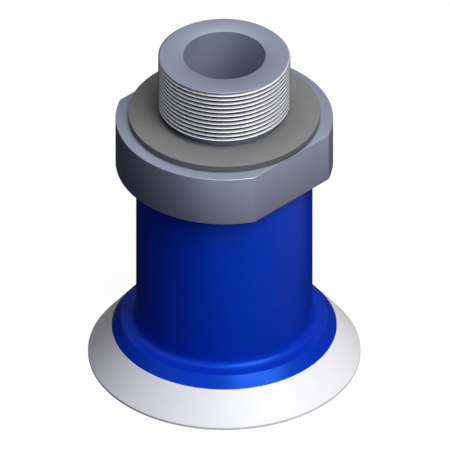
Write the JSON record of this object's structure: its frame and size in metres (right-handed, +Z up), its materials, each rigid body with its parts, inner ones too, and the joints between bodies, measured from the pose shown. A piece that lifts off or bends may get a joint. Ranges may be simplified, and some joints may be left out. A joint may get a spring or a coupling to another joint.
{
  "type": "flat vacuum cup",
  "caption": "Flat vacuum cup: a hard body with a soft conical lip on a male threaded fitting with two wrench flats, a captive sealing washer and an inner filter screen.",
  "frame": {"origin": "centre of the lip's sealing plane, where the cup meets the workpiece", "axes": "+Z up the cup's axis, out of the threaded shank; the two wrench flats face +X and -X"},
  "size_m": [0.0556, 0.0556, 0.074],
  "materials": {
    "soft_elastomer": "satin translucent white, soft moulded elastomer",
    "hard_elastomer": "glossy moulded elastomer, strong blue",
    "stainless_steel": "bright stainless steel",
    "sleeve_brass": "turned brass",
    "fitting_aluminium": "turned and milled aluminium, satin, slightly bluish anodised",
    "washer_polymer": "matt grey fibre-filled polymer",
    "seal_rubber": "matt black nitrile rubber",
    "spring_steel": "phosphated spring steel"
  },
  "bodies": {
    "root": {"cup_body": "hard_elastomer", "stiffening_ring": "stainless_steel", "insert_sleeve": "sleeve_brass", "threaded_fitting": "fitting_aluminium", "sealing_washer": "washer_polymer", "spigot_o_ring": "seal_rubber", "filter_frame": "stainless_steel", "filter_screen": "stainless_steel", "retaining_ring": "spring_steel"},
    "lip": {"sealing_lip": "soft_elastomer"}
  },
  "joints": [
    {"name": "lip_compression", "type": "slide", "parent": "root", "child": "lip", "axis": [0, 0, 1], "range_m": [0, 0.004], "stiffness_N_per_m": 2000, "deforming": ["sealing_lip"]}
  ]
}
